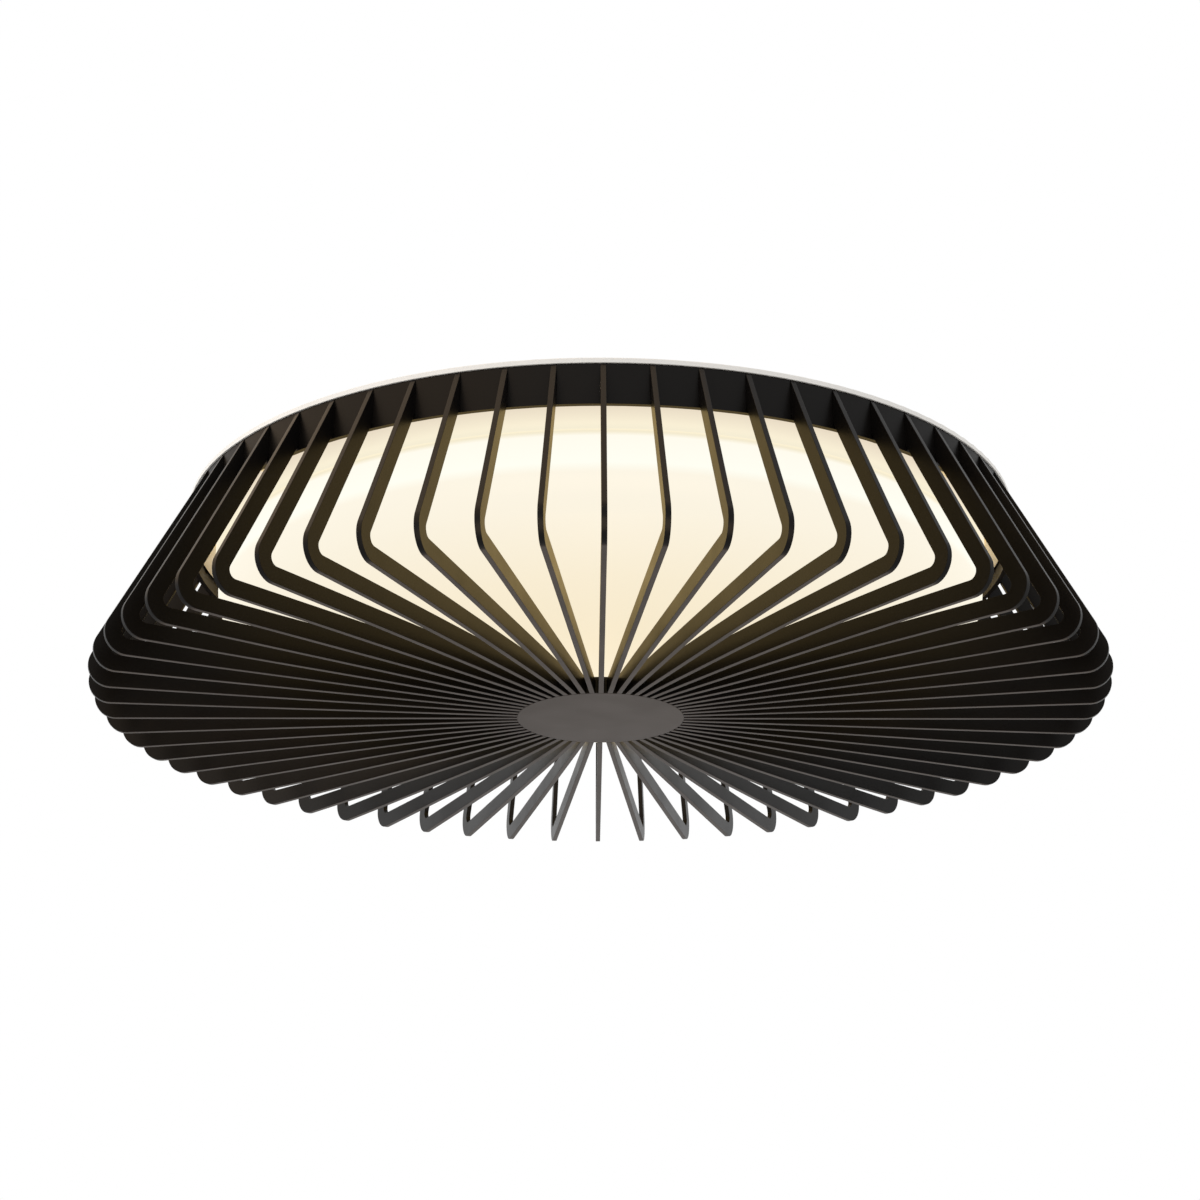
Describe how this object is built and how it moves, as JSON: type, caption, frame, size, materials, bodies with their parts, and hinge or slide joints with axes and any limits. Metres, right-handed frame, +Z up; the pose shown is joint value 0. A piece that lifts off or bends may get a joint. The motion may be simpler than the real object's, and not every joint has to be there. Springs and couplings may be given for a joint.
{
  "type": "led ceiling light",
  "caption": "Flush round ceiling light with an opal drum diffuser inside a black cage of radial ribs that run down and in to a round hub.",
  "frame": {"origin": "centre of the base plate's face that lies on the ceiling", "axes": "+Z up, out of the ceiling face; one rib of the cage points along -Y"},
  "size_m": [0.6, 0.6, 0.1202],
  "materials": {
    "black_cage": "matt black powder coat",
    "white_sheet": "satin white powder coat",
    "opal": "opal acrylic, satin inside and out",
    "spring_steel": "bright spring steel",
    "zinc_steel": "zinc plated",
    "bare_aluminium": "mill finish",
    "white_board": "white solder mask",
    "green_board": "green solder mask",
    "chip_phosphor": "yellow phosphor",
    "white_plastic": "moulded",
    "black_rubber": "matt",
    "grey_plastic": "moulded",
    "wound_core": "varnished",
    "wire_white": "sheath",
    "wire_brown": "sheath",
    "wire_green": "sheath"
  },
  "bodies": {
    "ceiling_unit": {"base_plate": "white_sheet", "block_screws": "zinc_steel", "board_screws": "zinc_steel", "cable_grommet": "black_rubber", "carrier_ring": "white_sheet", "clip_rivets": "zinc_steel", "driver_board": "green_board", "driver_capacitors": "grey_plastic", "driver_case": "white_plastic", "driver_cover": "white_plastic", "driver_straps": "zinc_steel", "driver_transformer": "wound_core", "earth_nut": "zinc_steel", "earth_stud": "zinc_steel", "earth_tag": "zinc_steel", "earth_washer": "zinc_steel", "earth_wire": "wire_green", "led_board": "white_board", "led_chips": "chip_phosphor", "led_connector": "white_plastic", "led_lead": "wire_white", "led_plate": "bare_aluminium", "mains_wires": "wire_brown", "plate_grommet": "black_rubber", "ring_clips": "spring_steel", "terminal_block": "white_plastic", "terminal_screws": "zinc_steel", "tray_posts": "zinc_steel", "tray_screws": "zinc_steel"},
    "diffuser": {"diffuser": "opal"},
    "cage": {"cage_ring": "black_cage", "hub_cap": "black_cage", "hub_plate": "black_cage", "hub_screws": "zinc_steel", "ribs_01": "black_cage", "ribs_02": "black_cage", "ribs_03": "black_cage", "ribs_04": "black_cage", "ribs_05": "black_cage", "ribs_06": "black_cage", "ribs_07": "black_cage", "ribs_08": "black_cage", "ribs_09": "black_cage", "ribs_10": "black_cage", "ribs_11": "black_cage", "ribs_12": "black_cage"}
  },
  "joints": [
    {"name": "diffuser_twist", "type": "hinge", "parent": "ceiling_unit", "child": "diffuser", "pos_m": [0, 0, 0], "axis": [0, 0, 1], "range_deg": [-12, 0]},
    {"name": "cage_pull", "type": "slide", "parent": "ceiling_unit", "child": "cage", "axis": [0, 0, -1], "range_m": [0, 0.09]}
  ]
}
